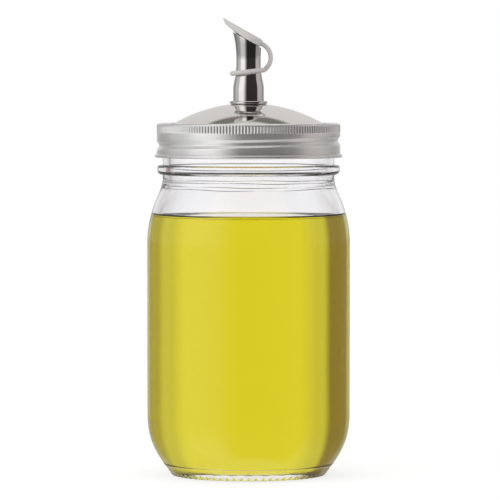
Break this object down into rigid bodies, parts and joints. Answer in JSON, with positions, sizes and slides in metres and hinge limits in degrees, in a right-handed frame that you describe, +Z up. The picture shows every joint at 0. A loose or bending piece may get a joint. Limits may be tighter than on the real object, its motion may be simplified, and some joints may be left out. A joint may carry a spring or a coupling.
{
  "type": "glass oil bottle",
  "caption": "Wide-mouth glass jar of oil with a screw band, a domed lid insert and a slanted pour spout closed by a tethered cap.",
  "frame": {"origin": "centre of the jar's foot, on the surface it stands on", "axes": "+Z up along the jar's axis, +X towards the tether strap, away from the spout's long lip, +Y to the back, away from the viewer of the picture"},
  "size_m": [0.0982, 0.0982, 0.2215],
  "materials": {
    "jar_glass": "gloss",
    "edible_oil": "gloss",
    "polished_steel": "polished",
    "satin_steel": "satin",
    "silicone": "satin"
  },
  "bodies": {
    "jar": {"glass_jar": "jar_glass", "oil_fill": "edible_oil"},
    "lid": {"lid_gasket": "silicone", "lid_dome": "polished_steel", "pour_spout": "polished_steel", "cap_tether": "silicone"},
    "band": {"screw_band": "satin_steel"},
    "cap": {"spout_cap": "silicone"}
  },
  "joints": [
    {"name": "lid_lift", "type": "slide", "parent": "jar", "child": "lid", "axis": [0, 0, 1], "range_m": [0, 0.016]},
    {"name": "band_turn", "type": "hinge", "parent": "lid", "child": "band", "pos_m": [0, 0, 0.162], "axis": [0, 0, 1], "range_deg": [0, 1133.86]},
    {"name": "cap_flip", "type": "hinge", "parent": "lid", "child": "cap", "pos_m": [0.00703, 0, 0.20853], "axis": [0, 1, 0], "range_deg": [0, 135], "deforming": ["cap_tether"]}
  ],
  "couplings": [
    {"joint": "lid_lift", "follows": "band_turn", "m_per_rad": 0.00080851}
  ]
}
